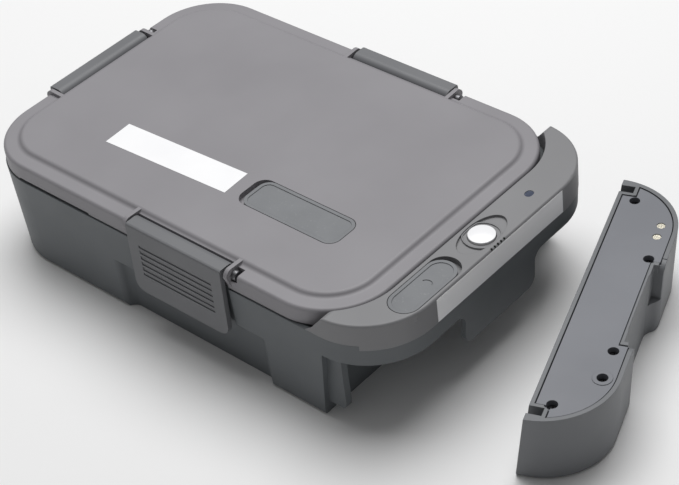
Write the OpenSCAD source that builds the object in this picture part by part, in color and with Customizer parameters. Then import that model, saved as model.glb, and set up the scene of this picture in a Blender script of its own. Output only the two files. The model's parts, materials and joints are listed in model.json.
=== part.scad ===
// Cordless heated lunch box: rounded tub, lift-off lid with three swing latches and a vent flap,
// control housing on one end, and a detachable battery pack standing beside it.
// X runs along the box towards the control housing, Y across it, Z up. Millimetres.
// The origin lies on the ground under the middle of the lid.

/* [Lid] */
// Length of the lid
lid_l = 247; // [225:1:270]
// Width of the lid
lid_w = 170; // [155:1:190]
// Corner radius of the lid, seen from above
lid_r = 34.5; // [28:0.5:40]
// Height of the lid's flat rim above the ground
rim_z = 64; // [60:0.5:72]
// Width of the flat rim
rim_flat = 6.8; // [5:0.1:8]
// Width of the slope between the rim and the raised panel
rim_slope = 4.1; // [3:0.1:5]
// Height of the raised panel, and of the control deck, above the rim
panel_rise = 1.9; // [1:0.1:3]
// Height of the lid's skirt
skirt_h = 9.4; // [9:0.1:10.4]
// Wall thickness of the lid's skirt
lid_wall = 2.4; // [1.8:0.1:3]
// Thickness of the raised panel
panel_t = 2.5; // [2:0.1:3]
// Length of the finger notch under the lid's skirt
lift_notch_l = 51; // [30:1:60]
// Height of the finger notch
lift_notch_h = 0.8; // [0.5:0.1:1.2]

/* [Tub] */
// How far the tub's top edge stands outside the lid
tub_over = 0.6; // [0.3:0.1:1.5]
// Gap between the tub's top edge and the lid's skirt
seam_gap = 0.6; // [0.5:0.1:1]
// Wall thickness of the tub
tub_wall = 2.4; // [2:0.1:3]
// Inward lean of the tub's walls over their height
tub_draft = 2.3; // [1:0.1:3]
// Radius of the tub's bottom edge
tub_edge_r = 2.6; // [1.5:0.1:4]
// Thickness of the rubber pads let into the bottom
foot_h = 1.2; // [0.8:0.1:1.6]
// Depth of the finger pockets under the latches
pocket_depth = 4; // [3:0.1:5]
// Height of the finger pockets
pocket_h = 31.5; // [28:0.5:34]
// Length of each pocket's floor
pocket_l = 88; // [80:1:90]
// Length of the slope at each end of a pocket
pocket_ramp = 8; // [6:0.5:9]

/* [Latches] */
// Width of a latch
latch_w = 62.5; // [56:0.5:66]
// Distance of the long sides' latches from the middle of the lid, towards the housing
latch_x = 21.5; // [12:0.5:26]
// Distance of the end's latch from the middle of the lid
latch_y = 1; // [-1:0.5:2]
// Height of a latch's lower end above the ground
latch_low_z = 25.5; // [22:0.5:28]
// Thickness of a latch's plate
latch_t = 2.6; // [2:0.1:3]
// Radius of the latch pins
latch_pin_r = 1.2; // [1:0.05:1.5]
// Number of grip ribs on a latch
grip_ribs = 5; // [3:1:6]
// Thickness of the ears that hold a latch pin
ear_t = 2.3; // [1.8:0.1:2.8]

/* [Vent] */
// Length of the vent flap
flap_l = 59.5; // [50:0.5:64]
// Width of the vent flap
flap_w = 20.5; // [17:0.5:22]
// Thickness of the vent flap
flap_t = 1.6; // [1.3:0.1:2]
// Finger gap at the free end of the flap
flap_gap = 2.8; // [2:0.1:3.5]
// Radius of the vent hole
vent_r = 3; // [2.5:0.1:3.5]

/* [Control housing] */
// Depth of the control deck, from the lid to the outer face
deck_depth = 20.1; // [19:0.1:24]
// Gap between the lid and the control housing
lid_gap = 2.8; // [2:0.1:3.5]
// Corner radius of the housing, seen from above
house_r = 36; // [34:0.2:40]
// Height of the housing's rim
house_rim_h = 24; // [23.6:0.1:25]
// Thickness of the deck plate
deck_t = 2.4; // [2:0.1:2.8]
// Radius of the power button
button_r = 6.6; // [6:0.1:7]
// Travel of the power button
button_travel = 1; // [0.6:0.1:1.4]
// Length of the socket cover
cover_l = 40.4; // [36:0.2:41]
// Width of the socket cover
cover_w = 15.8; // [13.5:0.1:16]
// Half width of the tab on the housing's rim
tab_half = 26.4; // [22:0.2:28]
// How far the tab hangs below the rim
tab_drop = 20; // [12:0.5:24]
// Number of charge lights
lights = 5; // [3:1:7]

/* [Battery pack] */
// Height of the battery pack
pack_h = 39.4; // [37:0.1:39.8]
// Wall thickness of the pack
pack_wall = 2.2; // [1.8:0.1:2.6]
// Inward lean of the pack's outer walls over their height
pack_draft = 2.8; // [1.5:0.1:4]
// Lean of the tub's end wall, and of the pack's inner wall
dock_lean = 6.2; // [4:0.1:8]
// Depth of the finger scoop in the pack's outer face
notch_depth = 5.4; // [4:0.1:5.8]
// Distance of the standing pack from its dock, along the box
pack_away_x = 65.7; // [58:0.1:90]
// Distance of the standing pack from its dock, across the box
pack_away_y = 16.9; // [0:0.1:40]
// Turn of the standing pack
pack_turn = 20.1; // [0:0.1:30]

/* [Heated pan and tray] */
// Depth of the heated pan
pan_h = 39; // [34:0.5:40]
// Sheet thickness of the pan
pan_t = 0.8; // [0.6:0.1:1]
// Height of the food tray
tray_h = 34; // [28:0.5:36]
// Wall thickness of the food tray
tray_t = 1.4; // [1:0.1:2]

/* [Hidden] */
pack_in_dock = false;

$fn = 96;
EPS = 0.01;
FAR = 400;
SEAT = 0.3;      // clearance of a piece that seats
FIT = 0.05;      // radial clearance of a pin in its hole

deck_z = rim_z + panel_rise;
skirt_z = rim_z - skirt_h;
tub_z = skirt_z - seam_gap;
lid_x = lid_l / 2;
lid_y = lid_w / 2;
tub_x0 = -lid_x - tub_over;
tub_y = lid_y + tub_over;
tub_r = lid_r + tub_over;
house_x = lid_x + lid_gap + deck_depth;
shelf_z = deck_z - house_rim_h;
shelf_t = 2.4;
ledge_t = 2.2;
panel_in = rim_flat + rim_slope;
arm_x = lid_x - 10.3;       // where the housing's two arms end on the deck
arm_foot = 11.2;              // length of the S-shaped rise at the end of each arm

plum = [0.33, 0.34, 0.35];
slate = [0.27, 0.29, 0.30];

// ---- outlines -------------------------------------------------------------------------------

// Rounded rectangle from x0 to x1, half width hy, with its own corner radius at each end.
module outline(x0, x1, hy, ra, rb) {
  translate([x0 + ra, -hy]) square([x1 - rb - x0 - ra, 2 * hy]);
  translate([x0, -hy + ra]) square([ra + EPS, 2 * (hy - ra)]);
  translate([x1 - rb - EPS, -hy + rb]) square([rb + EPS, 2 * (hy - rb)]);
  for (s = [-1, 1]) {
    translate([x0 + ra, s * (hy - ra)]) circle(ra);
    translate([x1 - rb, s * (hy - rb)]) circle(rb);
  }
}

// The lid's outline, drawn in (inset > 0) or out.
module lid_outline(inset) {
  outline(-lid_x + inset, lid_x - inset, lid_y - inset, lid_r - inset, lid_r - inset);
}

// The outline of tub and housing together, drawn in by inset.
module body_outline(inset) {
  outline(tub_x0 + inset, house_x - inset, tub_y - inset, tub_r - inset, house_r - inset);
}

// Carries a profile round a rounded rectangle. The profile's x counts outwards from the outline.
module carry(x0, x1, hy, ra, rb) {
  corners = [[x1 - rb, hy - rb, rb, 0], [x0 + ra, hy - ra, ra, 90],
             [x0 + ra, ra - hy, ra, 180], [x1 - rb, rb - hy, rb, 270]];
  runs = [[x1, hy - rb, 0, 2 * (hy - rb)], [x0 + ra, hy, 90, x1 - rb - x0 - ra],
          [x0, ra - hy, 180, 2 * (hy - ra)], [x1 - rb, -hy, 270, x1 - rb - x0 - ra]];
  for (c = corners)
    translate([c[0], c[1], 0]) rotate([0, 0, c[3]])
      rotate_extrude(angle = 90) translate([c[2], 0]) children();
  for (r = runs)
    translate([r[0], r[1], 0]) rotate([90, 0, r[2]]) linear_extrude(r[3]) children();
}

// The same, round the lid's outline and round the outline of tub and housing.
module carry_lid() {
  carry(-lid_x, lid_x, lid_y, lid_r, lid_r) children();
}

module carry_body() {
  carry(tub_x0, house_x, tub_y, tub_r, house_r) children();
}

// Points of an arc from angle a0 to a1.
function arc(x, y, r, a0, a1, n) = [for (i = [0:n])
  let (a = a0 + (a1 - a0) * i / n) [x + r * cos(a), y + r * sin(a)]];

// Plan of a pocket whose ends rise in soft S curves: floor length l, ramp length ramp, depth d.
module pocket_plan(l, ramp, d) {
  r = (ramp * ramp + d * d) / (4 * d);
  turn = 2 * atan(d / ramp);
  end = l / 2 + ramp;
  polygon(concat([[-end, 1]], arc(-end, -r, r, 90, 90 - turn, 8), arc(-l / 2, r - d, r, 270 - turn, 270, 8),
                 arc(l / 2, r - d, r, 270, 270 + turn, 8), arc(end, -r, r, 90 + turn, 90, 8), [[end, 1]]));
}

// A wall's section: height h, thickness t, leaning inwards by lean at the foot, foot radius e.
module wall_section(h, t, lean, e) {
  n = sqrt(h * h + lean * lean);
  cx = -lean + (lean * e - e * n) / h;
  foot = arc(cx, e, e, -90, -atan(lean / h), 7);
  polygon(concat([[0, h], [-t, h], [-t - lean * (1 - e / h), e], [cx - 1, e], [cx - 1, 0]], foot));
}

// Places a child on the front (0), back (1) or left end (2) of the box. There x runs along the
// wall, and y counts outwards from the lid's edge.
module on_side(side) {
  if (side == 0) translate([latch_x, -lid_y, 0]) mirror([0, 1, 0]) children();
  if (side == 1) translate([latch_x, lid_y, 0]) children();
  if (side == 2) translate([-lid_x, latch_y, 0]) rotate([0, 0, 90]) children();
}

// Lifts a section drawn in (outwards, up) into place, and runs it l along the wall.
module along_wall(l) {
  translate([-l / 2, 0, 0]) rotate([90, 0, 90]) linear_extrude(l) children();
}

// ---- tub ------------------------------------------------------------------------------------

ledge_z = tub_z - 1;            // top of the ledge that carries the pan's flange
pan_x0 = -lid_x + 14.4;
pan_x1 = lid_x - 26;
pan_y = lid_y - 14.4;
pan_r = 24;
wall_x = 111;                   // the tub's end wall at the height of the shelf
side_end = 109.8;                // where the tub's side walls end beside the dock
side_lean = 5;
rail_in = 76.9;
rail_out = 80.8;
rail_x = 117;
rail_low = 8;
lean_deg = atan(tub_draft / tub_z);
latch_cut = 1.6;                // depth of the shallow recess behind each latch
back_t = 2.2;
bead_z = 44.5;
bead_h = 1.5;
bead_out = 0.7;
foot_r = 6;
foot_spots = [[-95, -58], [-95, 58], [84, -58], [84, 58]];
boss_h = 6;
screw_r = 1.25;
screw_head_r = 2.6;
screw_sink = 1.9;
screw_spots = [[house_x - 17, -68], [house_x - 17, 68], [house_x - 6.6, -17.3], [house_x - 6.6, 22.5]];
contact_x = house_x - 9.2;
contact_y = 51.7;
seam_x = lid_x + lid_gap + 3;   // beyond it the housing's skin reaches further down, to end_seam_z
label_low = deck_z - 14.2;
end_seam_z = label_low - 0.4;
board_z = shelf_z + 7;
board_t = 1.6;
board_post_x = lid_x + lid_gap + 5.2;
board_post_y = 40;

// The space beside and under the shelf that the docked pack takes.
module dock_space() {
  translate([0, FAR / 2, 0]) rotate([90, 0, 0]) linear_extrude(FAR)
    polygon([[side_end - side_lean, -1], [FAR, -1], [FAR, shelf_z], [side_end, shelf_z]]);
}

// The tab's outline on the housing's rim, seen from the end; grow is the room left round it.
module tab_outline(grow) {
  r = 6;
  low = shelf_z - tab_drop;
  half = concat([[0, shelf_z + 1], [tab_half + r, shelf_z + 1]], arc(tab_half + r, shelf_z - r, r - grow, 90, 180, 9),
                arc(tab_half - r, low + r, r + grow, 0, -90, 9), [[0, low - grow]]);
  polygon(half);
  mirror([1, 0]) polygon(half);
}

// The section of the end wall that leans over the dock, and of its returns beside the rails.
module end_wall_section() {
  polygon([[wall_x - dock_lean, 0], [wall_x, shelf_z + 1], [wall_x - tub_wall, shelf_z + 1],
           [wall_x - dock_lean - tub_wall, 0]]);
}

module side_end_section() {
  polygon([[side_end - side_lean, 0], [side_end, shelf_z], [side_end, shelf_z + 1],
           [wall_x - dock_lean - tub_wall - 3, shelf_z + 1], [wall_x - dock_lean - tub_wall - 3, 0]]);
}

// Puts a child's zero plane on the outer face of the leaning wall.
module on_wall() {
  translate([0, tub_over - tub_draft, 0]) rotate([-lean_deg, 0, 0]) children();
}

// Extra wall behind the finger pocket and behind the latch.
module pocket_backing() {
  l = pocket_l + 2 * pocket_ramp - 2;
  on_wall() {
    translate([-l / 2, -pocket_depth - back_t, 0]) cube([l, pocket_depth + back_t - 1, pocket_h + back_t]);
    translate([-latch_w / 2 - 4, -latch_cut - back_t, pocket_h])
      cube([latch_w + 8, latch_cut + back_t - 1, ledge_z - pocket_h - 0.5]);
  }
}

// The shallow recess that a latch's plate lies in, with the small bead that it snaps over.
module latch_recess() {
  on_wall() difference() {
    translate([-latch_w / 2 - 1.7, -latch_cut, pocket_h - 3])
      cube([latch_w + 3.4, latch_cut + 1, tub_z]);
    translate([-latch_w / 4, -latch_cut - 1, bead_z]) cube([latch_w / 2, 1 + bead_out, bead_h]);
  }
}

module screw_hole(p) {
  translate([p[0], p[1], shelf_z - 1]) {
    cylinder(h = 1 + screw_sink, r = screw_head_r + 0.2);
    cylinder(h = boss_h + 2, r = screw_r + 0.3);
  }
}

module contact_plan(inset) {
  translate([-4 + inset, -8 + inset]) square([8 - 2 * inset, 16 - 2 * inset]);
}

module rail(s) {
  r = 3;
  translate([0, s > 0 ? rail_out : -rail_in, 0]) rotate([90, 0, 0])
    linear_extrude(rail_out - rail_in) {
      translate([wall_x - dock_lean - 1, rail_low])
        square([rail_x - r - wall_x + dock_lean + 1, shelf_z - rail_low + 1]);
      translate([rail_x - r - EPS, rail_low + r]) square([r + EPS, shelf_z - rail_low - r + 1]);
      translate([rail_x - r, rail_low + r]) circle(r);
    }
}

module tub_shell() {
  color(slate) difference() {
    union() {
      difference() {
        carry_body() wall_section(tub_z, tub_wall, tub_draft, tub_edge_r);
        difference() {
          dock_space();
          translate([house_x - tub_wall - tub_draft - 1, 0, 0]) rotate([90, 0, 90])
            linear_extrude(FAR) tab_outline(0);
        }
      }
      // floor
      intersection() {
        linear_extrude(tub_wall) body_outline(tub_draft + tub_edge_r);
        translate([-FAR, -FAR, -1]) cube([FAR + wall_x - dock_lean - 1, 2 * FAR, FAR]);
      }
      // leaning end wall, and its short returns to the side walls
      translate([0, tub_y - tub_wall - tub_draft, 0]) rotate([90, 0, 0])
        linear_extrude(2 * (tub_y - tub_wall - tub_draft)) end_wall_section();
      for (s = [-1, 1])
        intersection() {
          translate([0, s > 0 ? tub_y - 1 : -rail_in + 1, 0]) rotate([90, 0, 0])
            linear_extrude(tub_y - rail_in) side_end_section();
          linear_extrude(shelf_z + 1) body_outline(tub_draft + 1);
        }
      for (s = [-1, 1]) rail(s);
      // shelf under the control housing
      intersection() {
        translate([0, 0, shelf_z]) linear_extrude(shelf_t) body_outline(1);
        translate([side_end - side_lean, -FAR, 0]) cube([FAR, 2 * FAR, FAR]);
      }
      // ledge that carries the pan
      translate([0, 0, ledge_z - ledge_t]) linear_extrude(ledge_t) difference() {
        intersection() {
          body_outline(1);
          lid_outline(-lid_gap - 2);
        }
        outline(pan_x0, pan_x1, pan_y, pan_r, pan_r);
      }
      for (side = [0:2]) on_side(side) pocket_backing();
      for (p = screw_spots) translate([p[0], p[1], shelf_z]) cylinder(h = boss_h, r = 3);
      for (y = [-board_post_y, 0, board_post_y])
        translate([board_post_x, y, shelf_z]) cylinder(h = board_z - shelf_z, r = 2);
    }
    for (side = [0:2]) on_side(side) {
      on_wall() translate([0, 0.03, -1]) linear_extrude(pocket_h + 1)
        pocket_plan(pocket_l, pocket_ramp, pocket_depth);
      latch_recess();
    }
    for (p = foot_spots) translate([p[0], p[1], -1]) cylinder(h = foot_h + 1, r = foot_r);
    for (p = screw_spots) screw_hole(p);
    translate([contact_x, contact_y, shelf_z - 1]) linear_extrude(shelf_t + 2) contact_plan(0);
    translate([seam_x, -FAR, end_seam_z]) cube([FAR, 2 * FAR, FAR]);
  }
}

module tub_feet() {
  color([0.12, 0.12, 0.12]) for (p = foot_spots) translate([p[0], p[1], 0]) cylinder(h = foot_h, r = foot_r);
}

// ---- pan, tray and heater -------------------------------------------------------------------

pan_low = ledge_z + pan_t - pan_h;
plate_t = 1.5;
film_t = 0.4;

// A drawn vessel inside the pan's opening: inset, foot, top, sheet thickness, bend, flange width.
module vessel(inset, low, top, t, bend, flange) {
  carry(pan_x0 + inset, pan_x1 - inset, pan_y - inset, pan_r - inset, pan_r - inset)
    polygon(concat([[-t, top], [flange, top], [flange, top - t], [0, top - t]],
                   arc(-bend, low + bend, bend, 0, -90, 8), [[-bend - 1, low], [-bend - 1, low + t]],
                   arc(-bend, low + bend, bend - t, -90, 0, 8)));
  in = inset + bend + 0.5;
  translate([0, 0, low]) linear_extrude(t)
    outline(pan_x0 + in, pan_x1 - in, pan_y - in, pan_r - in, pan_r - in);
}

module heated_pan() {
  color([0.75, 0.75, 0.76]) vessel(0.4, pan_low, ledge_z + pan_t, pan_t, 9, 7);
}

module food_tray() {
  low = pan_low + pan_t;
  color([0.82, 0.82, 0.82]) vessel(2.6, low, low + tray_h, tray_t, 10, 1.2);
}

module under_pan(z, t, inset) {
  translate([0, 0, z]) linear_extrude(t)
    outline(pan_x0 + inset, pan_x1 - inset, pan_y - inset, pan_r - 9, pan_r - 9);
}

module heater_plate() {
  color([0.7, 0.71, 0.72]) under_pan(pan_low - plate_t, plate_t, 16);
}

module heater_film() {
  color([0.78, 0.5, 0.2]) under_pan(pan_low - plate_t - film_t, film_t, 18);
}

module heat_sensor() {
  z = pan_low - plate_t - film_t;
  color([0.85, 0.85, 0.82]) translate([0, 0, z - 4]) cylinder(h = 4, r = 3);
}

module insulation() {
  top = pan_low - plate_t - film_t;
  color([0.9, 0.88, 0.8]) {
    difference() {
      translate([0, 0, tub_wall]) linear_extrude(top - tub_wall)
        outline(pan_x0, pan_x1, pan_y, pan_r, pan_r);
      translate([0, 0, top - 4]) cylinder(h = 5, r = 3.2);
    }
    carry(pan_x0, pan_x1, pan_y, pan_r, pan_r)
      translate([-1, tub_wall]) {
        square([1 + 2.2, top - tub_wall]);
        translate([1, 0]) square([2.2, ledge_z - ledge_t - tub_wall]);
      }
  }
}

// ---- control housing ------------------------------------------------------------------------

wall_t = 2.4;                   // thickness of the housing's outer skin
gap_wall = 1.2;                 // wall between the lid's gap and the housing's inside
button_x = house_x - 10.5;
button_y = 0.6;
bore_r = button_r + SEAT;
collar_r = button_r + 2.9;
collar_foot_r = button_r + 1.1;
dish_l = 32;
dish_w = 16.4;
dish_d = 1.3;
collar_low = 1.9;
window_x = house_x - 10.4;
window_y = 36.6;
edge_r = 1.2;                   // rounding of the deck's outer edge
light_pitch = 2.35;
light_r = 0.6;
light_in = 0.7;                 // how far a light pipe reaches in from the edge rounding's axis
hatch_depth = 3;
hatch_floor = 1.4;
hatch_lift = 0.3;
cover_t = 1.6;
cover_x = house_x - 10;
cover_y = -63;
cover_r = cover_w / 2 - 0.1;
cover_gap = 2.6;
socket_y = cover_y + 21;
flap_r = 6;
flap_x = lid_x - 39.2;
flap_y = -35;
plug_x = flap_x - flap_l / 2 - 3;

// A hatch lies with its top at z = 0 and its hinge end at x = 0; its free end points to -x.
module hatch_plan(l, w, r, gap, grow) {
  outline(-l - gap - grow, grow, w / 2 + grow, r + grow, r + grow);
}

module hatch(l, w, r, t) {
  difference() {
    translate([0, 0, -t]) linear_extrude(t) hatch_plan(l, w, r, 0, 0);
    translate([0, 0, -0.35]) linear_extrude(1) hatch_plan(l, w, r, 0, -1.8);
  }
}

// The foot that holds a hatch by the thin web along its rounded hinge end.
module hatch_foot(l, w, r, t) {
  translate([0, 0, -hatch_depth]) linear_extrude(hatch_depth - t - hatch_lift) intersection() {
    hatch_plan(l, w, r, 0, 0);
    translate([-r - 2, -w]) square([r + 3, 2 * w]);
  }
}

module hatch_recess(l, w, r, gap) {
  translate([0, 0, -hatch_depth]) linear_extrude(hatch_depth + 1) hatch_plan(l, w, r, gap, SEAT);
}

module at_cover() {
  translate([cover_x, cover_y, deck_z]) rotate([0, 0, -90]) children();
}

module at_flap() {
  translate([flap_x, flap_y, deck_z]) children();
}

// The space that the lid and the gap round it take, and the space before the arms' sloping ends.
module lid_space() {
  translate([0, 0, ledge_z - 1]) linear_extrude(FAR) lid_outline(-lid_gap);
  translate([0, FAR / 2, 0]) rotate([90, 0, 0]) linear_extrude(FAR)
    polygon([[-FAR, 0], [arm_x - arm_foot, 0], [arm_x - arm_foot, tub_z + 0.3],
             [arm_x - 8.2, deck_z - 9.9], [arm_x - 3.2, deck_z - 3.7], [arm_x - 1, deck_z - 1],
             [arm_x, deck_z - 0.3], [arm_x + 1, deck_z], [arm_x + 1, FAR], [-FAR, FAR]]);
}

module control_housing() {
  r = edge_r;
  ring_in = wall_t + 0.25;
  color(plum) difference() {
    union() {
      translate([0, 0, deck_z - deck_t]) linear_extrude(deck_t) body_outline(1.4);
      difference() {
        carry_body() {
          translate([-wall_t, end_seam_z]) square([wall_t, deck_z - r - end_seam_z]);
          translate([-wall_t, deck_z - r - EPS]) square([wall_t - r, r + EPS]);
          translate([-r, deck_z - r]) circle(r);
        }
        translate([-FAR, -FAR, 0]) cube([FAR + seam_x, 2 * FAR, tub_z]);
      }
      // wall round the lid's gap, standing on the tub's ledge
      translate([0, 0, ledge_z]) linear_extrude(deck_z - ledge_z - 1) intersection() {
        lid_outline(-lid_gap - gap_wall);
        body_outline(wall_t + 0.3);
      }
      translate([0, 0, tub_z + 0.4]) linear_extrude(deck_z - tub_z - 1.4) intersection() {
        lid_outline(-lid_gap - gap_wall);
        body_outline(1);
      }
      // lip inside the tub's wall
      difference() {
        union() {
          translate([0, 0, end_seam_z - 2]) linear_extrude(5) difference() {
            body_outline(ring_in);
            body_outline(ring_in + 1.4);
          }
          translate([0, 0, end_seam_z + 0.5]) linear_extrude(2.5) difference() {
            body_outline(ring_in - 0.8);
            body_outline(ring_in + 1.4);
          }
        }
        translate([-FAR, -FAR, 0]) cube([FAR + seam_x, 2 * FAR, FAR]);
      }
      at_cover() translate([0, 0, -hatch_depth - hatch_floor]) linear_extrude(hatch_depth)
        intersection() {
          hatch_plan(cover_l, cover_w, cover_r, cover_gap, 1.8);
          translate([-cover_l - 6, -cover_w / 2 - 1.4]) square([cover_l + 8, cover_w + 2.6]);
        }
      for (p = screw_spots) translate([p[0], p[1], shelf_z + boss_h])
        cylinder(h = deck_z - shelf_z - boss_h - 1, r = 2.5);
    }
    lid_space();
    // finger dish round the button, and the seat of its collar
    translate([button_x, button_y, deck_z - dish_d]) linear_extrude(dish_d + 1) dish_plan(0);
    translate([button_x, button_y, deck_z - collar_low]) linear_extrude(collar_low) collar_plan(0);
    translate([button_x, button_y, deck_z - 6]) cylinder(h = 8, r = collar_foot_r);
    at_lights() cylinder(h = 2 * edge_r + light_in, r = light_r);
    translate([window_x, window_y, deck_z - deck_t - 1]) linear_extrude(deck_t + 2) window_plan();
    at_cover() hatch_recess(cover_l, cover_w, cover_r, cover_gap);
    translate([cover_x, socket_y, deck_z - 8]) cylinder(h = 8, r = 3.4);
    for (p = screw_spots) translate([p[0], p[1], shelf_z]) cylinder(h = 15, r = screw_r + FIT);
  }
}

// The dish is an oval; the collar is a disc cut to it.
module dish_plan(inset) {
  a = dish_w / 2 - inset;
  b = dish_l / 2 - inset;
  polygon([for (i = [0:63]) [a * cos(i * 360 / 64), b * sin(i * 360 / 64)]]);
}

module collar_plan(inset) {
  intersection() {
    circle(collar_r - inset);
    dish_plan(inset);
  }
}

// The charge lights shine through the rounded edge of the deck, at 45 degrees.
module at_lights() {
  for (i = [0:lights - 1])
    translate([house_x - edge_r, button_y - 1 + (i - (lights - 1) / 2) * light_pitch, deck_z - edge_r])
      rotate([0, 45, 0]) translate([0, 0, -light_in]) children();
}

module window_plan() {
  square([4, 1], center = true);
  for (s = [-1, 1]) translate([0, s / 2]) circle(2);
}

module button_collar() {
  color(plum) translate([button_x, button_y, deck_z]) difference() {
    union() {
      translate([0, 0, -collar_low]) linear_extrude(collar_low - dish_d + 0.3) collar_plan(0);
      translate([0, 0, -collar_low]) linear_extrude(collar_low - dish_d + 0.8) difference() {
        collar_plan(0);
        collar_plan(0.7);
      }
      translate([0, 0, -collar_low - 1.7]) cylinder(h = 2, r = collar_foot_r);
    }
    translate([0, 0, -5]) cylinder(h = 6, r = bore_r);
  }
}

module power_button() {
  top = 0.9;
  dome = (button_r * button_r + 0.64) / 1.6;
  color([0.95, 0.95, 0.96]) translate([button_x, button_y, deck_z]) {
    intersection() {
      translate([0, 0, -4.2]) cylinder(h = 6, r = button_r);
      translate([0, 0, top - dome]) sphere(dome);
    }
    translate([0, 0, -4.9]) cylinder(h = 1, r = bore_r + 0.5);
    translate([0, 0, -7.6]) cylinder(h = 3, r = 2);
  }
}

module charge_lights() {
  color([0.1, 0.12, 0.1]) at_lights() cylinder(h = edge_r + light_in, r = light_r);
}

module light_window() {
  color([0.25, 0.28, 0.36]) translate([window_x, window_y, deck_z - deck_t])
    linear_extrude(deck_t - 0.2) window_plan();
}

module control_board() {
  x0 = lid_x + lid_gap + gap_wall + 1;
  color([0.1, 0.35, 0.2]) translate([0, 0, board_z]) linear_extrude(board_t) difference() {
    union() {
      translate([x0, -42]) square([house_x - wall_t - 1.8 - x0, 84]);
      translate([x0, -60]) square([8, 120]);
    }
    for (p = screw_spots) translate([p[0], p[1]]) circle(3.3);
  }
}

module button_switch() {
  z = board_z + board_t;
  color([0.1, 0.1, 0.1]) {
    translate([button_x - 4, button_y - 4, z]) cube([8, 8, 3.4]);
    translate([button_x, button_y, z + 3]) cylinder(h = deck_z - 7.6 - 1.4 - z - 3, r = 1.6);
  }
}

module dc_socket() {
  z = board_z + board_t;
  h = deck_z - hatch_depth - hatch_floor - z;
  color([0.08, 0.08, 0.08]) translate([cover_x, socket_y, z]) difference() {
    translate([-4.6, -5.5, 0]) cube([9.2, 11, h]);
    translate([0, 0, 1.5]) cylinder(h = h, r = 3.2);
  }
}

module socket_pin() {
  z = board_z + board_t;
  color([0.8, 0.65, 0.3]) translate([cover_x, socket_y, z + 1.5])
    cylinder(h = deck_z - hatch_depth - hatch_floor - z - 6.6, r = 1);
}

module socket_cover() {
  color([0.4, 0.4, 0.41]) at_cover() difference() {
    hatch(cover_l, cover_w, cover_r, cover_t);
    // finger nail mark
    translate([-cover_l / 2 - 2, 0, -0.7]) linear_extrude(1) difference() {
      circle(3.2);
      circle(2.7);
      translate([-1.2, -4]) square([8, 8]);
    }
  }
}

module cover_foot() {
  color([0.4, 0.4, 0.41]) at_cover() hatch_foot(cover_l, cover_w, cover_r, cover_t);
}

module contact_block() {
  color([0.1, 0.1, 0.1]) translate([contact_x, contact_y, shelf_z]) difference() {
    union() {
      translate([0, 0, 0.2]) linear_extrude(shelf_t) contact_plan(0.1);
      translate([0, 0, shelf_t]) linear_extrude(1.8) intersection() {
        contact_plan(-1.2);
        translate([-contact_x, -contact_y]) body_outline(tub_wall + 1);
      }
    }
    for (s = [-1, 1]) translate([0, s * 4.2, -1]) cylinder(h = 8, r = 1.5);
  }
}

module contact_pins() {
  color([0.85, 0.7, 0.35]) for (s = [-1, 1])
    translate([contact_x, contact_y + s * 4.2, shelf_z]) cylinder(h = 5, r = 1.5);
}

module deck_screws() {
  color([0.6, 0.6, 0.62]) for (p = screw_spots) translate([p[0], p[1], shelf_z])
    difference() {
      union() {
        translate([0, 0, 0.3]) cylinder(h = screw_sink - 0.3, r = screw_head_r);
        translate([0, 0, 1]) cylinder(h = 12, r = screw_r);
      }
      translate([-1.6, -0.3, -1]) cube([3.2, 0.6, 1.9]);
      translate([-0.3, -1.6, -1]) cube([0.6, 3.2, 1.9]);
    }
}

module rim_label() {
  color([0.86, 0.86, 0.86]) intersection() {
    carry_body() translate([0, label_low]) square([0.15, 12.9]);
    translate([house_x - 5, -45.6, shelf_z]) cube([10, 94, 30]);
  }
}

// ---- lid ------------------------------------------------------------------------------------

pin_u = -3;
pin_z = rim_z - 2.4;
knuckle_r = 4;
ear_gap = 1.2;                  // side clearance between a latch and its ears
room_u = -7.4;                  // how deep the lid is cut away behind a latch's bar
ear_mid = latch_w / 2 + ear_gap + ear_t / 2;
head_r = 2.6;
head_t = 2.6;
head_room = 4.4;
liner_z = skirt_z + 2.4;
liner_t = 1.4;

module lid_section() {
  r = 1.8;
  rs = (rim_slope * rim_slope + panel_rise * panel_rise) / (4 * panel_rise);
  turn = 2 * atan(panel_rise / rim_slope);
  polygon(concat([[-panel_in - 1, rim_z - lid_wall], [-panel_in - 1, deck_z]],
                 arc(-panel_in, deck_z - rs, rs, 90, 90 - turn, 6),
                 arc(-rim_flat, rim_z + rs, rs, 270 - turn * 5 / 6, 270, 5),
                 arc(-r, rim_z - r, r, 90, 0, 6),
                 [[0, skirt_z], [-lid_wall, skirt_z], [-lid_wall, rim_z - lid_wall]]));
}

module ear_section() {
  r = 3.9;
  polygon(concat([[room_u - 2.4, rim_z - 3], [-panel_in - 0.8, rim_z - 3], [-panel_in - 0.8, deck_z - 0.4]],
                 arc(-1.7, deck_z - r, r, 92, 0, 10),
                 [[0, skirt_z + 1.5], [-0.8, skirt_z], [room_u - 2.4, skirt_z]]));
}

module latch_room() {
  along_wall(latch_w + 2 * ear_gap) {
    translate([room_u, pin_z - knuckle_r - 1]) square([10, 20]);
    translate([-0.8, skirt_z - 1]) square([5, 10]);
  }
  translate([ear_mid + ear_t / 2, pin_u, pin_z]) {
    rotate([0, 90, 0]) cylinder(h = head_room, r = head_r + 0.5);
    translate([0, -head_r - 0.5, 0]) cube([head_room, 2 * head_r + 4, 10]);
    translate([0, 0, -head_r + 0.6]) cube([head_room, head_r + 4, 10]);
  }
}

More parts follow.
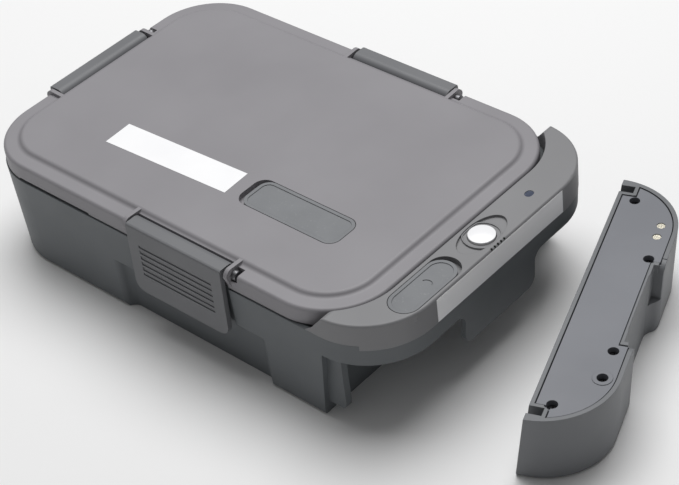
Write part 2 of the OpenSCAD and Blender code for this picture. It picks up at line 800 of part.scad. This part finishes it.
module lid_shell() {
  color(plum) difference() {
    union() {
      difference() {
        union() {
          carry_lid() lid_section();
          translate([0, 0, deck_z - panel_t]) linear_extrude(panel_t) lid_outline(panel_in);
          for (side = [0:2]) on_side(side)
            along_wall(2 * ear_mid + ear_t + 10) translate([room_u - 2.4, skirt_z])
              square([-room_u + 1.6, rim_z - skirt_z - 1]);
        }
        for (side = [0:2]) on_side(side) latch_room();
      }
      for (side = [0:2]) on_side(side)
        for (s = [-1, 1]) translate([s * ear_mid, 0, 0]) along_wall(ear_t) ear_section();
      // seat of the vent flap, the vent's tube, and posts down to the liner
      at_flap() translate([0, 0, -hatch_depth - hatch_floor]) linear_extrude(hatch_depth)
        hatch_plan(flap_l, flap_w, flap_r, flap_gap, 2);
      translate([plug_x, flap_y, liner_z + liner_t])
        cylinder(h = deck_z - liner_z - liner_t - 3.5, r = vent_r + 1.6);
      for (p = liner_posts) translate([p[0], p[1], liner_z + liner_t])
        cylinder(h = deck_z - liner_z - liner_t - 1, r = 2.5);
    }
    for (side = [0:2]) on_side(side)
      translate([-FAR / 2, pin_u, pin_z]) rotate([0, 90, 0]) pin_bore();
    at_flap() hatch_recess(flap_l, flap_w, flap_r, flap_gap);
    translate([plug_x, flap_y, liner_z]) cylinder(h = deck_z - liner_z, r = vent_r);
    // finger notch under the skirt
    translate([lift_x - lift_notch_l / 2, -lid_y - 1, skirt_z - 1])
      cube([lift_notch_l, 1 + lid_wall + 1, 1 + lift_notch_h]);
  }
}

lift_x = -66.5;
liner_posts = [[-90, -50], [-90, 50], [0, 50], [0, -62], [70, 50], [-40, 0]];

// Bore for a latch pin, long enough for both ears and no more.
module pin_bore() {
  translate([0, 0, FAR / 2 - ear_mid - ear_t]) cylinder(h = 2 * ear_mid + 2 * ear_t, r = latch_pin_r + FIT);
}

module lid_liner() {
  color([0.7, 0.72, 0.74]) difference() {
    union() {
      translate([0, 0, liner_z]) linear_extrude(liner_t)
        outline(pan_x0 - 4, pan_x1 + 4, pan_y + 4, pan_r + 4, pan_r + 4);
      carry(pan_x0, pan_x1, pan_y, pan_r, pan_r)
        translate([-4, ledge_z - 3]) square([1.6, liner_z - ledge_z + 4]);
    }
    translate([plug_x, flap_y, liner_z - 1]) cylinder(h = 5, r = vent_r);
  }
}

module lid_gasket() {
  z = ledge_z + pan_t + SEAT;
  r = 1.1;
  color([0.85, 0.85, 0.83]) carry(pan_x0, pan_x1, pan_y, pan_r, pan_r) {
    translate([1.8, z + r]) square([2 * r, liner_z - z - r]);
    translate([1.8 + r, z + r]) circle(r);
  }
}

module lid_label() {
  color([0.95, 0.95, 0.95]) translate([-25.5, -37.5, deck_z]) rotate([0, 0, 2.7])
    translate([-39.7, -8.6, 0]) cube([79.4, 17.2, 0.15]);
}

module latch_pins() {
  l = 2 * ear_mid + ear_t;
  color([0.75, 0.75, 0.76]) for (side = [0:2]) on_side(side)
    translate([-l / 2, pin_u, pin_z]) rotate([0, 90, 0]) {
      cylinder(h = l + 0.5, r = latch_pin_r);
      translate([0, 0, l]) cylinder(h = head_t, r = head_r);
    }
}

module flap_foot() {
  color([0.36, 0.37, 0.38]) at_flap() hatch_foot(flap_l, flap_w, flap_r, flap_t);
}

// ---- latches --------------------------------------------------------------------------------

latch_u0 = 3;                   // a latch's outer face at its top corner and at its lower end
latch_u1 = 3.8;
latch_top = pin_z + knuckle_r;
latch_edge = latch_top - 1.2;
latch_lean = (latch_u1 - latch_u0) / (latch_edge - latch_low_z);
rib_h = 1.4;
rib_pitch = 3.45;
grip_z1 = latch_top - 10.3;
grip_z0 = grip_z1 - 3 - rib_h - (grip_ribs - 1) * rib_pitch;
grip_d = 0.45;
hook_z = 41;
hook_u = tub_over - tub_draft * (1 - bead_z / tub_z) - latch_cut + bead_out + 0.35;

function latch_face(z) = latch_u0 + (latch_edge - z) * latch_lean;

// A strip of a latch's outer face, from z0 to z1 and d deep.
module face_strip(z0, z1, d) {
  polygon([[latch_face(z0) + 1, z0], [latch_face(z0) - d, z0],
           [latch_face(z1) - d, z1], [latch_face(z1) + 1, z1]]);
}

module latch_section() {
  translate([pin_u, pin_z]) circle(knuckle_r);
  polygon([[pin_u, latch_top], [latch_u0 - 1.2, latch_top], [latch_u0 - 0.35, latch_top - 0.35],
           [latch_u0, latch_edge], [latch_u1, latch_low_z], [latch_u1 - latch_t, latch_low_z],
           [latch_face(pin_z - knuckle_r) - latch_t, pin_z - knuckle_r], [pin_u, pin_z - knuckle_r]]);
}

module latch() {
  r = 6;
  color(slate) difference() {
    union() {
      intersection() {
        along_wall(latch_w) latch_section();
        translate([0, 10, 0]) rotate([90, 0, 0]) linear_extrude(30) {
          translate([-latch_w / 2, latch_low_z + r]) square([latch_w, 60]);
          translate([-latch_w / 2 + r, latch_low_z - 1]) square([latch_w - 2 * r, 60]);
          for (s = [-1, 1]) translate([s * (latch_w / 2 - r), latch_low_z + r]) circle(r);
        }
      }
      along_wall(latch_w / 2 - 2) translate([hook_u, hook_z])
        square([latch_face(hook_z) - latch_t + 0.5 - hook_u, 2]);
    }
    along_wall(latch_w - 14.5) difference() {
      face_strip(grip_z0, grip_z1, grip_d);
      for (i = [0:grip_ribs - 1])
        face_strip(grip_z1 - 1.5 - i * rib_pitch - rib_h, grip_z1 - 1.5 - i * rib_pitch, grip_d + 1);
    }
    translate([-FAR / 2, pin_u, pin_z]) rotate([0, 90, 0]) cylinder(h = FAR, r = latch_pin_r + FIT);
  }
}

module latch_front() {
  on_side(0) latch();
}

module latch_back() {
  on_side(1) latch();
}

module latch_left() {
  on_side(2) latch();
}

module vent_flap() {
  color([0.36, 0.37, 0.38]) at_flap() hatch(flap_l, flap_w, flap_r, flap_t);
}

module vent_plug() {
  color([0.2, 0.2, 0.2]) translate([plug_x, flap_y, deck_z - flap_t]) {
    translate([0, 0, -1]) cylinder(h = 1, r = vent_r + 1.3);
    translate([0, 0, -5]) cylinder(h = 5, r = vent_r - 0.8);
  }
}

// ---- battery pack ---------------------------------------------------------------------------

// The pack's own frame: x = 0 on its inner edge, x outwards, the pack's foot at z = 0.
pack_d = house_x - wall_x - 0.9;
pack_r = house_r - 0.6;
pack_y = tub_y;
pack_lean = dock_lean * pack_h / shelf_z;
pack_spots = [[9.1, 71.3], [26, 30.9], [26.2, -33.9], [26, -51.7], [9.4, -73]];
ring_spot = [26, -51.7];
top_t = 2;
top_drop = 0.4;
cup_h = 6;
scoop_l = 36;
scoop_ramp = 11;
tab_room = tab_half + 0.6;
tab_in = 5;
tab_floor = pack_h + SEAT - tab_drop - 0.8;
hook_x = rail_x - wall_x + 1;
hook_in = rail_in - 0.5;
hook_out = rail_out + 0.5;
hook_wall = 1.8;
contact_lx = contact_x - wall_x - 0.4;

module at_pack() {
  if (pack_in_dock) translate([wall_x + 0.4, 0, shelf_z - SEAT - pack_h]) children();
  else translate([wall_x + pack_away_x, pack_away_y, 0]) rotate([0, 0, pack_turn]) children();
}

// Everything on the tub's side of the pack's leaning inner face.
module inner_space(d) {
  translate([0, FAR / 2, 0]) rotate([90, 0, 0]) linear_extrude(FAR)
    polygon([[-FAR, -1], [d - pack_lean - pack_lean / pack_h, -1], [d + pack_lean / pack_h, pack_h + 1],
             [-FAR, pack_h + 1]]);
}

// Puts a child's zero plane on the pack's leaning outer face.
module on_pack() {
  translate([pack_d - pack_draft, 0, 0]) rotate([0, atan(pack_draft / pack_h), 0]) children();
}

module pack_scoop() {
  on_pack() rotate([0, 0, -90]) translate([0, 0.03, -2]) linear_extrude(pack_h + 4)
    pocket_plan(scoop_l, scoop_ramp, notch_depth);
}

// The channel for a rail of the tub, at both ends of the pack, from x = 0 to hook_x + grow.
module hook_plan(grow) {
  for (s = [0, 1]) mirror([0, s]) translate([-10, hook_in - grow])
    square([10 + hook_x + grow, hook_out - hook_in + grow]);
}

module pack_top_plan(inset) {
  difference() {
    outline(-60, pack_d - pack_wall - inset, pack_y - pack_wall - inset, 20, pack_r - pack_wall - inset);
    translate([-FAR + pack_wall - 0.3 + inset, -FAR / 2]) square([FAR, FAR]);
    translate([pack_d - tab_in - pack_wall - inset + 0.6, -tab_room - pack_wall - inset])
      square([20, 2 * (tab_room + pack_wall + inset)]);
    hook_plan(hook_wall + inset);
    for (s = [0, 1]) mirror([0, s]) translate([-1, hook_out - 1]) square([hook_x + hook_wall + inset + 1, 20]);
  }
}

module pack_cups(r, z0, z1) {
  for (p = pack_spots) translate([p[0], p[1], z0]) cylinder(h = z1 - z0, r = r);
}

module pack_shell() {
  foot = 2.6;
  color(slate) at_pack() difference() {
    union() {
      carry(-60, pack_d, pack_y, 20, pack_r) wall_section(pack_h, pack_wall, pack_draft, foot);
      linear_extrude(pack_wall) outline(-60, pack_d - pack_draft - foot, pack_y - pack_draft - foot, 20,
                                        pack_r - pack_draft - foot);
      intersection() {
        difference() {
          linear_extrude(pack_h) outline(-60, pack_d - pack_draft - 1, pack_y - pack_draft - 1, 20,
                                         pack_r - pack_draft - 1);
          inner_space(0);
        }
        inner_space(pack_wall);
      }
      // walls behind the finger scoop, the tab's recess and the rails' channels
      intersection() {
        on_pack() translate([-tab_in - pack_wall, -tab_room - pack_wall, 0])
          cube([tab_in + pack_wall - 0.5, 2 * (tab_room + pack_wall), 2 * pack_h]);
        translate([0, -FAR, foot]) cube([FAR, 2 * FAR, pack_h - foot]);
      }
      translate([pack_d - pack_draft - notch_depth - pack_wall, -scoop_l / 2 - scoop_ramp, 0])
        cube([notch_depth + pack_wall - foot, scoop_l + 2 * scoop_ramp, pack_h]);
      intersection() {
        carry(-60, pack_d - 1, pack_y - 1, 20, pack_r - 1) wall_section(pack_h, 12, pack_draft, foot);
        for (s = [0, 1]) mirror([0, s]) translate([-10, hook_in - hook_wall, foot])
          cube([10 + hook_x + hook_wall, 20, pack_h - foot]);
      }
      pack_cups(3.2, 1, pack_h - cup_h - top_drop);
    }
    inner_space(0);
    pack_scoop();
    intersection() {
      on_pack() translate([-tab_in, -tab_room, 0]) cube([20, 2 * tab_room, 2 * pack_h]);
      translate([0, -FAR, tab_floor]) cube([FAR, 2 * FAR, FAR]);
    }
    on_pack() translate([-tub_wall - 0.5, 0, pack_h + SEAT - shelf_z]) rotate([90, 0, 90])
      linear_extrude(20) tab_outline(0.6);
    translate([0, 0, rail_low - 4]) linear_extrude(FAR) hook_plan(0);
    translate([0, 0, pack_h - top_t - top_drop]) linear_extrude(FAR) pack_top_plan(0);
    pack_cups(3.65, pack_h - top_drop - cup_h, FAR);
    pack_cups(1.2, 6, pack_h);
  }
}

module pack_top() {
  top = pack_h - top_drop;
  color([0.42, 0.43, 0.45]) at_pack() difference() {
    union() {
      translate([0, 0, top - top_t]) linear_extrude(top_t) pack_top_plan(0.5);
      pack_cups(3.4, top - cup_h, top - 1);
      translate([ring_spot[0], ring_spot[1], top - 1]) cylinder(h = 1.3, r = 4.6);
    }
    pack_cups(2.6, top - cup_h + 1.4, top + 2);
    pack_cups(1.5, top - cup_h - 1, top);
    for (s = [-1, 1]) translate([contact_lx, contact_y + s * 4.2, top - top_t - 1])
      cylinder(h = top_t + 2, r = 2.1);
  }
}

module pack_screws() {
  top = pack_h - top_drop;
  color([0.25, 0.25, 0.26]) at_pack() difference() {
    union() {
      pack_cups(2.4, top - cup_h + 1.4, top - cup_h + 3.2);
      pack_cups(1.15, top - cup_h - 7, top - cup_h + 2);
    }
    for (p = pack_spots) translate([p[0], p[1], top - cup_h + 2.4]) {
      translate([-1.6, -0.3, 0]) cube([3.2, 0.6, 2]);
      translate([-0.3, -1.6, 0]) cube([0.6, 3.2, 2]);
    }
  }
}

cell_top = 31;
pack_board_t = 1.4;

module pack_contacts() {
  z = cell_top + pack_board_t;
  color([0.85, 0.72, 0.4]) at_pack() for (s = [-1, 1])
    translate([contact_lx, contact_y + s * 4.2, z]) cylinder(h = pack_h - top_drop - 0.3 - z, r = 2);
}

module pack_cells() {
  color([0.2, 0.35, 0.6]) at_pack() for (s = [-1, 1])
    translate([12, s * 34, pack_wall]) linear_extrude(cell_top - pack_wall) {
      square([17, 56], center = true);
      square([13, 60], center = true);
      for (a = [-1, 1], b = [-1, 1]) translate([a * 6.5, b * 28]) circle(2);
    }
}

module pack_board() {
  color([0.1, 0.35, 0.2]) at_pack() translate([0, 0, cell_top]) linear_extrude(pack_board_t) {
    translate([4, -55]) square([15, 118]);
    translate([18, contact_y - 7]) square([contact_lx - 15, 14]);
  }
}

tub_shell();
tub_feet();
heated_pan();
food_tray();
heater_plate();
heater_film();
heat_sensor();
insulation();
control_housing();
button_collar();
charge_lights();
light_window();
control_board();
button_switch();
dc_socket();
socket_pin();
contact_block();
contact_pins();
deck_screws();
rim_label();
lid_shell();
lid_liner();
lid_gasket();
lid_label();
latch_pins();
flap_foot();
latch_front();
latch_back();
latch_left();
vent_flap();
vent_plug();
power_button();
socket_cover();
cover_foot();
pack_shell();
pack_top();
pack_screws();
pack_contacts();
pack_cells();
pack_board();
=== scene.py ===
# %% [markdown]
# # A cordless heated lunch box, rebuilt from one studio photograph
# The CAD model gives every piece its true size. This script dresses those pieces: it gives each
# one a real material and lights the scene like the photograph. It adds no shapes of its own. Each
# cell does one small thing and prints what it made.

# %%
import json
import math
import bpy
from mathutils import Matrix, Vector

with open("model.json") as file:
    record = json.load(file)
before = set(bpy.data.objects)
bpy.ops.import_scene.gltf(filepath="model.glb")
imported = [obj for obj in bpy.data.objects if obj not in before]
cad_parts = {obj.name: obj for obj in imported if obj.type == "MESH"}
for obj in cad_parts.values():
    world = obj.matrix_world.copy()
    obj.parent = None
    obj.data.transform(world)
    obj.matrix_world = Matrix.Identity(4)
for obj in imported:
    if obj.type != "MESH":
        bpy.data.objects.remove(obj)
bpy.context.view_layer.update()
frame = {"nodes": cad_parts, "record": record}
MM = 0.001

# %% [markdown]
# ## Colours and nodes
# Colours are written as sRGB hex, the way a designer picks them off a sample, and Blender wants
# linear light, so one function converts them. The second function adds a shader node, sets its
# values and links its inputs, which keeps each material readable as a short list.

# %%
def linear(code):
    """An sRGB hex colour as linear RGBA."""
    parts = [int(code[i:i + 2], 16) / 255 for i in (1, 3, 5)]
    return [c / 12.92 if c <= 0.04045 else ((c + 0.055) / 1.055) ** 2.4 for c in parts] + [1.0]


def add(tree, kind, settings=(), values=(), links=()):
    """Adds a node. settings are its properties, values its constant inputs, links {input: output}."""
    node = tree.nodes.new(kind)
    for name, value in dict(settings).items():
        setattr(node, name, value)
    for name, value in dict(values).items():
        node.inputs[name].default_value = value
    for name, output in dict(links).items():
        tree.links.new(output, node.inputs[name])
    return node


print("linear mid grey:", [round(c, 3) for c in linear("#808080")[:3]])

# %% [markdown]
# ## A blank material
# Every finish starts from the same Principled shader. What is the same all over a surface, such
# as its IOR, is set straight on the shader. What varies is linked to it later.

# %%
def blank(name, values):
    """A material with these constant shader values. Returns it, its node tree and its shader."""
    mat = bpy.data.materials.new(name)
    mat.use_nodes = True
    tree = mat.node_tree
    shader = next(n for n in tree.nodes if n.type == "BSDF_PRINCIPLED")
    for key, value in values.items():
        shader.inputs[key].default_value = value
    return mat, tree, shader


def place(tree):
    """The point on the surface in the object's own metres, so patterns keep their real size."""
    return add(tree, "ShaderNodeTexCoord").outputs["Object"]


def noise(tree, size_mm, detail=2.0, vector=None):
    """A cloud whose blotches are about size_mm across; returns its value from 0 to 1."""
    return add(tree, "ShaderNodeTexNoise", values={"Scale": 1000 / size_mm, "Detail": detail},
               links={"Vector": vector or place(tree)}).outputs["Fac"]


def between(tree, value, low, high, from_low=0.3, from_high=0.7):
    """Maps a cloud's usual range onto low..high."""
    return add(tree, "ShaderNodeMapRange", values={"From Min": from_low, "From Max": from_high,
                                                   "To Min": low, "To Max": high},
               links={"Value": value}).outputs["Result"]


def tint(tree, factor, hex_a, hex_b):
    """Mixes two colours by a value."""
    node = add(tree, "ShaderNodeMix", {"data_type": "RGBA"}, links={"Factor": factor})
    node.inputs[6].default_value = linear(hex_a)
    node.inputs[7].default_value = linear(hex_b)
    return node.outputs[2]


print("helpers ready")

# %% [markdown]
# ## Softened edges
# No moulded edge is perfectly sharp: the tool's corners have a radius of a few tenths of a
# millimetre, and that radius is what catches the light. Modelling it on every edge would cost a
# great many faces, so the Bevel node bends the shading normal near edges. Comparing that bent
# normal with the face's own normal also says where the edges are. The moulded plastic is made
# glossier there, where hands and bags polish it first, and its colour is lightened there as a
# painted highlight.

# %%
def soft_edges(tree, radius_mm):
    """Returns a normal that is rounded near edges, and a mask that is 1 on the edges."""
    bevel = add(tree, "ShaderNodeBevel", {"samples": 4}, {"Radius": radius_mm * MM})
    face = add(tree, "ShaderNodeNewGeometry").outputs["Normal"]
    same = add(tree, "ShaderNodeVectorMath", {"operation": "DOT_PRODUCT"})
    tree.links.new(bevel.outputs["Normal"], same.inputs[0])
    tree.links.new(face, same.inputs[1])
    return bevel.outputs["Normal"], between(tree, same.outputs["Value"], 1.0, 0.0, 0.75, 0.99)


print("soft edges ready")

# %% [markdown]
# ## Spark-eroded polypropylene
# The box is injection moulded in polypropylene, from a tool whose faces are spark eroded. That
# leaves a fine pebble grain of about 0.15 mm, which scatters the highlight and gives the even,
# dry look of the photograph. At this distance a pixel is 0.4 mm, so the grain is drawn at 0.5 mm
# to show at all. A slow drift in colour and gloss stands for the flow of the melt and for
# handling. IOR 1.49 is that of polypropylene.

# %%
def moulded(name, hex_a, hex_b, rough, grain_mm=0.5, grain_depth=0.012, ior=1.49, edge_mm=0.45):
    """Moulded plastic: drifting colour, pebble grain, uneven gloss, rounded and polished edges with a
    painted highlight.
    """
    mat, tree, shader = blank(name, {"IOR": ior})
    drift = noise(tree, 60, 3)
    flow = tint(tree, between(tree, drift, 0, 1), hex_a, hex_b)
    bent, edge = soft_edges(tree, edge_mm)
    # Painted highlight: the colour along edges is lightened by a screen mix with grey.
    painted_edge_highlight = add(tree, "ShaderNodeMix", {"data_type": "RGBA", "blend_type": "SCREEN"},
               links={"Factor": between(tree, edge, 0, 0.35, 0, 1)})
    painted_edge_highlight.inputs[7].default_value = linear("#4a4a4c")
    tree.links.new(flow, painted_edge_highlight.inputs[6])
    tree.links.new(painted_edge_highlight.outputs[2], shader.inputs["Base Color"])
    gloss = add(tree, "ShaderNodeMath", {"operation": "MULTIPLY_ADD"})
    tree.links.new(edge, gloss.inputs[0])
    gloss.inputs[1].default_value = -0.10
    tree.links.new(between(tree, noise(tree, 25), rough - 0.03, rough + 0.04), gloss.inputs[2])
    tree.links.new(gloss.outputs[0], shader.inputs["Roughness"])
    grain = add(tree, "ShaderNodeTexVoronoi", {"feature": "SMOOTH_F1"}, {"Scale": 1000 / grain_mm},
                {"Vector": place(tree)})
    bump = add(tree, "ShaderNodeBump", values={"Strength": 0.5, "Distance": grain_depth * MM},
               links={"Height": grain.outputs["Distance"], "Normal": bent})
    tree.links.new(bump.outputs["Normal"], shader.inputs["Normal"])
    return mat


finishes = {
    "lid_plastic": moulded("polypropylene lid, spark eroded", "#868488", "#8d8b8f", 0.5),
    "housing_plastic": moulded("polypropylene housing, spark eroded", "#7b7b7d", "#828284", 0.5),
    "tub_plastic": moulded("polypropylene tub, spark eroded", "#5d6164", "#64686b", 0.52),
    "latch_plastic": moulded("polypropylene latches, spark eroded", "#696a6d", "#707174", 0.5),
    "pack_plastic": moulded("polypropylene pack, spark eroded", "#6c6e71", "#737578", 0.5),
    "pack_plate_plastic": moulded("polypropylene pack plate", "#74767c", "#7b7d83", 0.52),
    "liner_plastic": moulded("polypropylene, food side", "#c9ccd0", "#d2d5d9", 0.32, grain_depth=0.004),
    "black_plastic": moulded("nylon, black", "#151515", "#1b1b1b", 0.45, ior=1.53),
    "button_plastic": moulded("polycarbonate button, white", "#f4f4f6", "#f8f8fa", 0.3,
                              grain_depth=0.003, ior=1.58),
}
print("plastics:", len(finishes))

# %% [markdown]
# ## Silicone rubber
# The vent flap, its plug and the socket cover are silicone. It is softer to the light than the
# box: no grain, a dry surface that holds fine dust, and a low IOR of 1.41.

# %%
def silicone(name, hex_a, hex_b, rough):
    """Moulded silicone rubber: satin, slightly cloudy, with specks of dust."""
    mat, tree, shader = blank(name, {"IOR": 1.41, "Sheen Weight": 0.08})
    bent, edge = soft_edges(tree, 0.4)
    dust = between(tree, noise(tree, 1.2, 4), 0, 0.25, 0.62, 0.75)
    cloud = tint(tree, between(tree, noise(tree, 20, 3), 0, 1), hex_a, hex_b)
    dusty = add(tree, "ShaderNodeMix", {"data_type": "RGBA"}, links={"Factor": dust})
    dusty.inputs[7].default_value = linear("#a9a9aa")
    tree.links.new(cloud, dusty.inputs[6])
    tree.links.new(dusty.outputs[2], shader.inputs["Base Color"])
    tree.links.new(between(tree, noise(tree, 8), rough - 0.04, rough + 0.05), shader.inputs["Roughness"])
    bump = add(tree, "ShaderNodeBump", values={"Strength": 0.25, "Distance": 0.01 * MM},
               links={"Height": noise(tree, 0.8), "Normal": bent})
    tree.links.new(bump.outputs["Normal"], shader.inputs["Normal"])
    return mat


finishes.update({
    "flap_rubber": silicone("silicone rubber, grey", "#77797c", "#7d7f82", 0.55),
    "plug_rubber": silicone("silicone rubber, dark", "#323233", "#38383a", 0.6),
    "pad_rubber": silicone("rubber pads", "#1c1c1c", "#232323", 0.75),
    "gasket_silicone": silicone("silicone gasket", "#d4d4d0", "#dcdcd8", 0.5),
})
print("rubbers: 4")

# %% [markdown]
# ## Brushed and drawn metal
# Brushing scratches a sheet in one direction, so the scratches are a cloud stretched 60 times
# along X. They make the surface rough across the grain and leave it smooth along it. A metal
# keeps the default IOR, and its colour is the colour of its reflection.

# %%
def metal(name, hex_a, hex_b, rough, stretch=60.0, line_mm=0.35):
    """Metal with scratches line_mm wide that run along X; stretch 1 gives an even, sanded look."""
    mat, tree, shader = blank(name, {"Metallic": 1.0})
    along = add(tree, "ShaderNodeMapping", links={"Vector": place(tree)})
    along.inputs["Scale"].default_value = (1 / stretch, 1, 1)
    lines = noise(tree, line_mm, 4, along.outputs["Vector"])
    tree.links.new(tint(tree, between(tree, lines, 0, 1), hex_a, hex_b), shader.inputs["Base Color"])
    tree.links.new(between(tree, lines, rough - 0.08, rough + 0.1), shader.inputs["Roughness"])
    bump = add(tree, "ShaderNodeBump", values={"Strength": 0.3, "Distance": 0.01 * MM},
               links={"Height": lines})
    tree.links.new(bump.outputs["Normal"], shader.inputs["Normal"])
    return mat


finishes.update({
    "pan_metal": metal("aluminium, drawn and anodised", "#cfd0d2", "#dddee0", 0.32, 8, 0.5),
    "tray_steel": metal("stainless steel, brushed", "#c3c1be", "#d2d0cd", 0.28),
    "spreader_metal": metal("aluminium, mill finish", "#cfd0d3", "#dcdde0", 0.35, 20),
    "screw_steel": metal("steel, zinc plated", "#b9b9bb", "#cacacc", 0.3, 1, 0.3),
    "dark_screw": metal("steel, black zinc", "#333335", "#424245", 0.35, 1, 0.3),
    "pin_steel": metal("steel pins, dulled", "#77777a", "#8a8a8d", 0.4, 1, 0.3),
    "contact_gold": metal("brass, pale gold plated", "#e6e0cc", "#efeada", 0.25, 1, 0.25),
})
print("metals: 7")

# %% [markdown]
# ## Label film, lenses and hidden pieces
# The labels are white polyester film, calendered smooth, with a faint orange peel from the
# adhesive below. The lenses are smoked polycarbonate. Pieces inside the box get the plain look
# of the real stock: green solder resist, amber film, felt, shrink wrap.

# %%
def stock(name, hex_a, hex_b, values, blotch_mm, peel_mm, peel_depth):
    """Sheet or wrapped stock: a colour that drifts, and a surface with a soft peel."""
    mat, tree, shader = blank(name, values)
    rough = values["Roughness"]
    cloud = noise(tree, blotch_mm, 4)
    tree.links.new(tint(tree, between(tree, cloud, 0, 1), hex_a, hex_b), shader.inputs["Base Color"])
    tree.links.new(between(tree, cloud, rough - 0.03, rough + 0.05), shader.inputs["Roughness"])
    bump = add(tree, "ShaderNodeBump", values={"Strength": 0.4, "Distance": peel_depth * MM},
               links={"Height": noise(tree, peel_mm)})
    tree.links.new(bump.outputs["Normal"], shader.inputs["Normal"])
    return mat


finishes.update({
    "label_stock": stock("polyester label film", "#f6f6f8", "#fafafb", {"Roughness": 0.35, "IOR": 1.57},
                         30, 3, 0.01),
    "light_pipe": stock("smoked light pipe", "#161917", "#1c201d", {"Roughness": 0.25, "IOR": 1.58},
                        1, 1, 0.005),
    "window_plastic": stock("smoked window", "#3d4557", "#444c60", {"Roughness": 0.2, "IOR": 1.58},
                            2, 2, 0.005),
    "insulation_foam": stock("mineral felt", "#cfc8b8", "#e0dacb", {"Roughness": 0.95, "IOR": 1.5},
                             4, 1.5, 0.4),
    "film": stock("polyimide film", "#9c5a18", "#ac6820", {"Roughness": 0.25, "IOR": 1.7}, 10, 6, 0.02),
    "sensor_body": stock("glazed ceramic", "#cacac5", "#d4d4cf", {"Roughness": 0.2, "IOR": 1.6}, 2, 1, 0.01),
    "board": stock("solder resist, green", "#105530", "#186338", {"Roughness": 0.3, "IOR": 1.55},
                   3, 1.2, 0.05),
    "cell_wrap": stock("shrink wrap, blue", "#285a97", "#3066a6", {"Roughness": 0.35, "IOR": 1.57},
                       12, 5, 0.03),
})
print("finishes in all:", len(finishes))

# %% [markdown]
# ## Dressing the CAD pieces
# The record says which finish each node has, so the link between a piece and its material is
# written only once, there.

# %%
slot_of = {row["node"]: row["material_slot"] for row in frame["record"]["subparts"]}
for name, piece in frame["nodes"].items():
    piece.data.materials.clear()
    piece.data.materials.append(finishes[slot_of[name]])
print("dressed:", len(slot_of), "nodes with", len(set(slot_of.values())), "finishes")

# %% [markdown]
# ## Floor and light
# The photograph is a cut-out on white, lit by a large soft box overhead, with almost no light
# from the sides: the top is mid grey and the walls fall to a third of that. So the floor is pale,
# the sky is dim, and one large lamp hangs above, a little behind the box.

# %%
floor_mat, _, floor_shader = blank("studio paper", {"Roughness": 0.95})
floor_shader.inputs["Base Color"].default_value = linear("#f2f2f2")
FLOOR_SIZE = 14
bpy.ops.mesh.primitive_plane_add(size=FLOOR_SIZE, location=(0, 0, 0))
floor = bpy.context.object
floor.name = "floor"
floor.data.materials.append(floor_mat)

world = bpy.data.worlds.new("studio")
bpy.context.scene.world = world
world.use_nodes = True
sky = world.node_tree.nodes["Background"]
sky.inputs["Color"].default_value = linear("#ffffff")
SKY_STRENGTH = 0.2
sky.inputs["Strength"].default_value = SKY_STRENGTH


def lamp(name, spot, aim, size, power):
    """A square soft box at spot, facing aim."""
    data = bpy.data.lights.new(name, "AREA")
    data.size = size
    data.energy = power
    obj = bpy.data.objects.new(name, data)
    bpy.context.scene.collection.objects.link(obj)
    back = (Vector(spot) - Vector(aim)).normalized()
    obj.matrix_world = Matrix.Translation(spot) @ back.to_track_quat("Z", "Y").to_matrix().to_4x4()
    return obj


BOX_SPOT = (-0.25, 0.45, 1.6)
BOX_AIM = (0.03, 0, 0)
BOX_SIZE = 1.4
BOX_POWER = 29
lamp("overhead soft box", BOX_SPOT, BOX_AIM, BOX_SIZE, BOX_POWER)
bpy.context.scene.view_settings.view_transform = "Standard"
print("floor, sky and one lamp")

# %% [markdown]
# ## Camera
# The position was solved from the outlines of the lid, the deck, the tub and the pack in the
# photograph, and the lens came out long, as product photographers use. The small shift recentres the
# frame as the photograph was cropped.

# %%
camera_data = bpy.data.cameras.new("camera")
camera_data.lens = 102.18
camera_data.sensor_width = 36
camera_data.shift_x = -0.01455
camera_data.shift_y = -0.00541
camera = bpy.data.objects.new("camera", camera_data)
bpy.context.scene.collection.objects.link(camera)
camera.rotation_euler = [math.radians(a) for a in (50.3752, 5.5375, 40.8452)]
camera.location = (0.57673, -0.51871, 0.63037)
bpy.context.scene.camera = camera
print("camera at", [round(v, 3) for v in camera.location])
